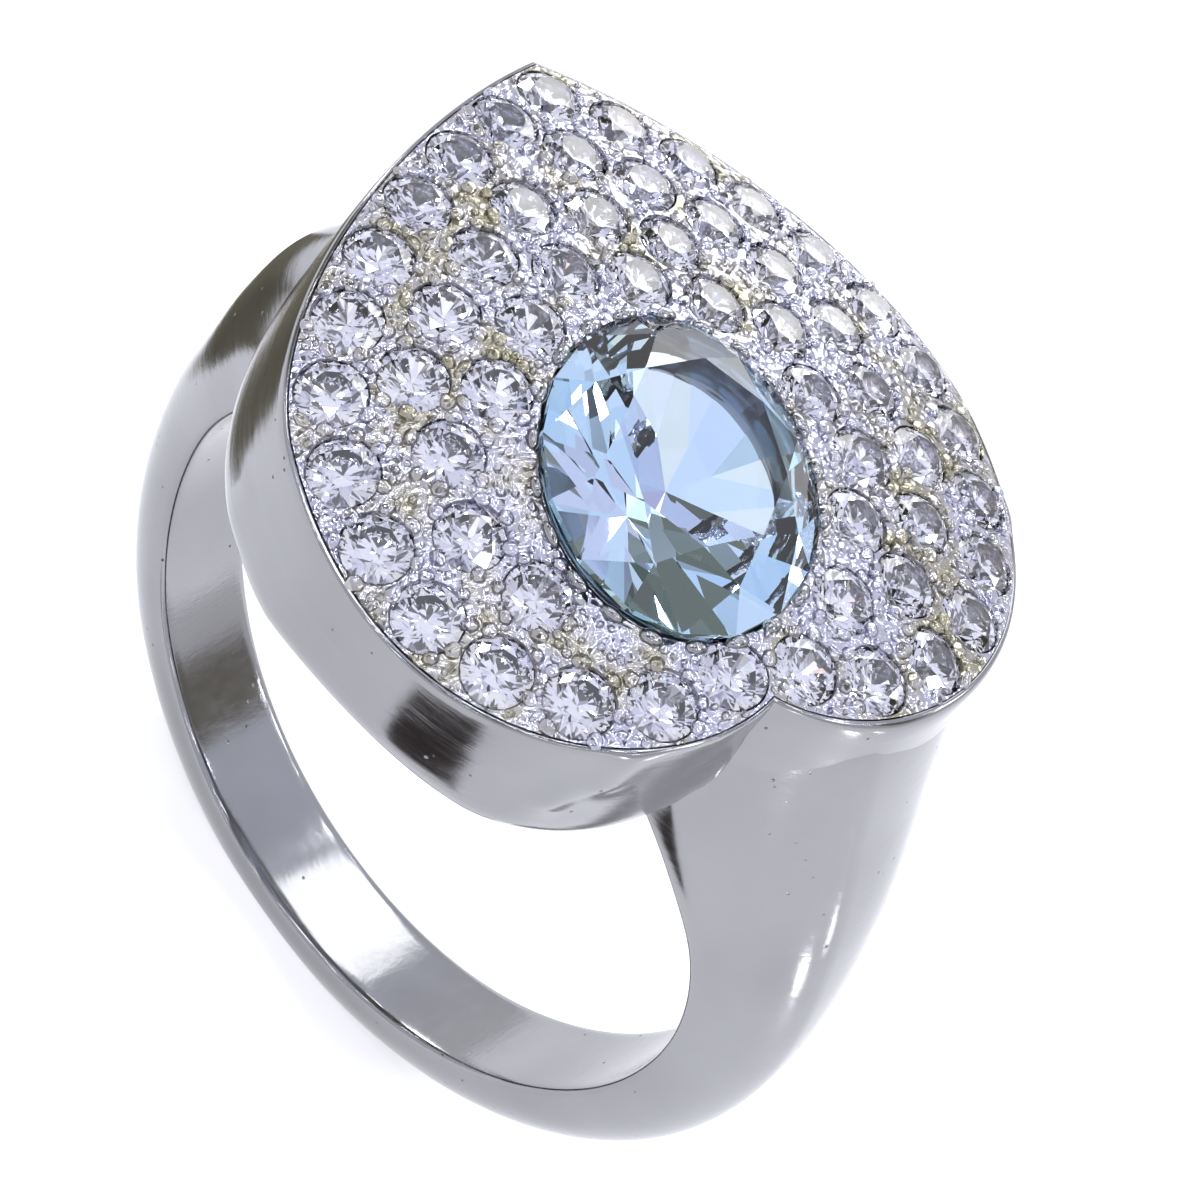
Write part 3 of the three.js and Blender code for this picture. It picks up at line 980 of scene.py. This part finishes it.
CAMERA_AIM = np.array([-0.451, 3.311, 2.611])
CAMERA_AZIMUTH, CAMERA_ELEVATION, CAMERA_ROLL = 11.659, 50.862, 44.481
CAMERA_DISTANCE = 91.0
CAMERA_LENS = 119.82


def direction(azimuth, elevation):
    a, e = math.radians(azimuth), math.radians(elevation)
    return Vector((math.sin(a) * math.cos(e), -math.cos(a) * math.cos(e), math.sin(e)))


def make_camera():
    camera = bpy.data.objects.new("camera", bpy.data.cameras.new("camera"))
    bpy.context.scene.collection.objects.link(camera)
    back = direction(CAMERA_AZIMUTH, CAMERA_ELEVATION)
    level_right = Vector((0, 0, 1)).cross(back).normalized()
    level_up = back.cross(level_right)
    roll = math.radians(CAMERA_ROLL)
    right = level_right * math.cos(roll) + level_up * math.sin(roll)
    up = back.cross(right)
    place = Vector(CAMERA_AIM) + back * CAMERA_DISTANCE
    camera.matrix_world = place_matrix(place, right, up, back)
    camera.data.lens = CAMERA_LENS
    camera.data.sensor_width = 36.0
    camera.data.clip_start = 0.005
    camera.data.clip_end = 20.0
    bpy.context.scene.camera = camera


FLOOR_WIDTH = 1200.0
FLOOR_GAP = 0.01


def make_floor():
    material, tree, shader = new_material("floor")
    mottle = textured(tree, "ShaderNodeTexNoise", 60.0, Detail=3.0)
    tone = ramp(tree, mottle.outputs["Fac"], [(0.3, grey(0.6)), (0.7, grey(0.63))])
    tree.links.new(tone, shader.inputs["Base Color"])
    shader.inputs["Roughness"].default_value = 0.7
    shader.inputs["Emission Color"].default_value = (0.97, 0.97, 1.0, 1.0)
    shader.inputs["Emission Strength"].default_value = 0.56
    half = FLOOR_WIDTH / 2
    z = BASE_FLAT_Z - FLOOR_GAP
    corners = [(-half, -half, z), (half, -half, z), (half, half, z), (-half, half, z)]
    floor = new_object("floor", corners, [(0, 1, 2, 3)])
    floor.data.materials.append(material)


def lamp(name, azimuth, elevation, distance, size, power, colour=(1, 1, 1)):
    """A square soft light aimed at the ring, with its size and distance in millimetres."""
    data = bpy.data.lights.new(name, "AREA")
    data.size = size * MM
    data.energy = power
    data.color = colour
    light = bpy.data.objects.new(name, data)
    bpy.context.scene.collection.objects.link(light)
    way = direction(azimuth, elevation)
    light.location = way * distance * MM
    light.rotation_mode = "QUATERNION"
    light.rotation_quaternion = way.to_track_quat("Z", "Y")


def sky_patch(tree, sky, azimuth, elevation, spread, colour):
    """Blends a soft-edged round patch of colour into the sky, with its half width in degrees."""
    coordinates = add(tree, "ShaderNodeTexCoord")
    nearness = add(tree, "ShaderNodeVectorMath", operation="DOT_PRODUCT")
    nearness.inputs[1].default_value = direction(azimuth, elevation)
    tree.links.new(coordinates.outputs["Generated"], nearness.inputs[0])
    share = add(tree, "ShaderNodeMapRange", interpolation_type="SMOOTHSTEP")
    share.inputs["From Min"].default_value = math.cos(math.radians(spread * 1.15))
    share.inputs["From Max"].default_value = math.cos(math.radians(spread * 0.75))
    tree.links.new(nearness.outputs["Value"], share.inputs["Value"])
    mix = add(tree, "ShaderNodeMix", data_type="RGBA")
    tree.links.new(share.outputs["Result"], mix.inputs["Factor"])
    tree.links.new(sky, mix.inputs["A"])
    mix.inputs["B"].default_value = (*colour, 1.0)
    return mix.outputs["Result"]


SKY_STOPS = [
    (0.5, (0.95, 0.95, 1.0)),
    (0.62, (0.88, 0.88, 0.95)),
    (0.8, (0.9, 0.92, 1.06)),
    (1.0, (0.88, 0.9, 1.06)),
]
SKY_PATCHES = [
    # azimuth, elevation and half width in degrees, colour
    (12, 52, 15, (0.10, 0.10, 0.11)),
    (-95, 38, 20, (0.20, 0.19, 0.14)),
    (70, 70, 12, (0.15, 0.14, 0.15)),
    (120, 28, 14, (0.30, 0.28, 0.25)),
]


SPARKS = 38
GOLDEN_ANGLE = 137.5
LAMP_DISTANCE = 300
GLINTS = [(92, -10, 2.2), (101, -4, 1.2), (63, 12, 2.0)]  # azimuth, elevation and size in mm
GLINT_DISTANCE = 38
GLINT_RADIANCE = 18.0


def make_light():
    """A sky that is a little bluer overhead, many small lamps for sparkle, and a few larger ones."""
    world = bpy.data.worlds.new("studio")
    bpy.context.scene.world = world
    world.use_nodes = True
    tree = world.node_tree
    coordinates = add(tree, "ShaderNodeTexCoord")
    split = add(tree, "ShaderNodeSeparateXYZ")
    tree.links.new(coordinates.outputs["Generated"], split.inputs["Vector"])
    rise = add(tree, "ShaderNodeMapRange")
    rise.inputs["From Min"].default_value = -1.0
    tree.links.new(split.outputs["Z"], rise.inputs["Value"])
    sky = ramp(tree, rise.outputs["Result"], SKY_STOPS)
    for patch in SKY_PATCHES:
        sky = sky_patch(tree, sky, *patch)
    tree.links.new(sky, tree.nodes["Background"].inputs["Color"])
    lamp("key", -40, 62, 400, 60, 0.12)
    lamp("fill", 95, 45, 400, 50, 0.07)
    lamp("back", 150, 30, 400, 60, 0.09)
    for k in range(SPARKS):
        azimuth = k * GOLDEN_ANGLE
        colour = (0.97, 0.97, 1.0) if k % 2 else (0.8, 0.84, 1.0)
        lamp(f"spark_{k + 1}", azimuth, 25 + 60 * k / SPARKS, LAMP_DISTANCE, 8, 0.0125, colour)
    lamp("left_glare", -112, 20, LAMP_DISTANCE, 44, 0.11)
    lamp("right_glare", 96, 42, LAMP_DISTANCE, 26, 0.07)
    lamp("band_stripe", -151, 41, 27, 14, 0.0016)
    for k, (azimuth, elevation, size) in enumerate(GLINTS):
        power = GLINT_RADIANCE * math.pi * (size * MM) ** 2
        lamp(f"glint_{k + 1}", azimuth, elevation, GLINT_DISTANCE, size, power)


def make_card(name, corners, colour):
    """A dark card lying beside the ring, seen only as a reflection in the metal."""
    material, tree, shader = new_material(name)
    mottle = textured(tree, "ShaderNodeTexNoise", 90.0, Detail=3.0)
    darker = tuple(0.6 * c for c in colour)
    tone = ramp(tree, mottle.outputs["Fac"], [(0.35, darker), (0.65, colour)])
    tree.links.new(tone, shader.inputs["Base Color"])
    shader.inputs["Roughness"].default_value = 0.9
    card = new_object(name, corners, [(0, 1, 2, 3)])
    card.data.materials.append(material)
    card.visible_camera = False
    card.visible_diffuse = False
    card.visible_shadow = False


def make_cards():
    z = BASE_FLAT_Z + 0.05
    side = [(-36, -5, z), (-18, -7, z), (-17, 13, z), (-36, 16, z)]
    make_card("side_card", side, (0.16, 0.145, 0.09))
    front = [(4.0, -15.5, z), (12.0, -13.0, z), (15.5, -24.0, z), (5.5, -27.0, z)]
    make_card("front_card", front, (0.05, 0.032, 0.026))


bpy.context.scene.view_settings.view_transform = "Standard"

silver = polished_silver()
set_silver = pave_silver()
white = gem("white_stone", 2.1, 0.005)
blue = gem("blue_stone", 1.62, 0.004)

shank, shank_tree = make_shank()
wall = make_wall(shank_tree)
settle(shank, silver, "polished_silver", "shank")
settle(wall, silver, "polished_silver", "head_shell")
settle(make_plate(), set_silver, "pave_silver", "pave_plate")
make_grains(set_silver)
make_collet(silver)
make_centre_stone(blue)
make_pave_stones(white)
make_floor()
make_cards()
make_light()
make_camera()
